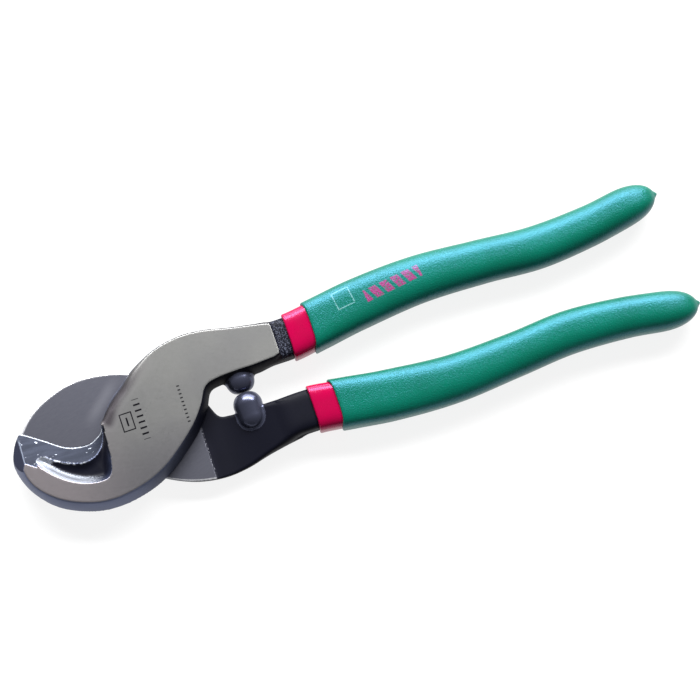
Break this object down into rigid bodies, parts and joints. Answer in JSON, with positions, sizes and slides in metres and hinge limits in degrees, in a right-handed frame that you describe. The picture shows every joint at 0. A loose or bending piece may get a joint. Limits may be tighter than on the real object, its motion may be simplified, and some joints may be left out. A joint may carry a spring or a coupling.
{
  "type": "hand cable cutter",
  "caption": "Hand cable cutter with lapped hooked jaws on a flush rivet, ball stops and twice-dipped vinyl handle grips.",
  "frame": {"origin": "on the rivet's axis, in the ground rear face of the rear half", "axes": "+X from the rivet along the closed tool to the handle ends, +Y towards the front half's handle, +Z out of the front half's ground face"},
  "size_m": [0.2523, 0.0566, 0.013],
  "materials": {
    "ground_steel": "fine brushed, blackened on the forged tang",
    "forged_steel": "ground blade, blackened forged tang",
    "rivet_steel": "ground flush",
    "magenta_vinyl": "glossy dipped vinyl",
    "green_vinyl": "satin grainy dipped vinyl"
  },
  "bodies": {
    "rear_body": {"rear_half": "forged_steel", "pivot_rivet": "rivet_steel", "lower_grip_base": "magenta_vinyl", "lower_grip_cover": "green_vinyl"},
    "front_body": {"front_half": "ground_steel", "upper_grip_base": "magenta_vinyl", "upper_grip_cover": "green_vinyl"}
  },
  "joints": [
    {"name": "jaw_pivot", "type": "hinge", "parent": "rear_body", "child": "front_body", "pos_m": [0, 0, 0.0065], "axis": [0, 0, 1], "range_deg": [0, 45]}
  ]
}
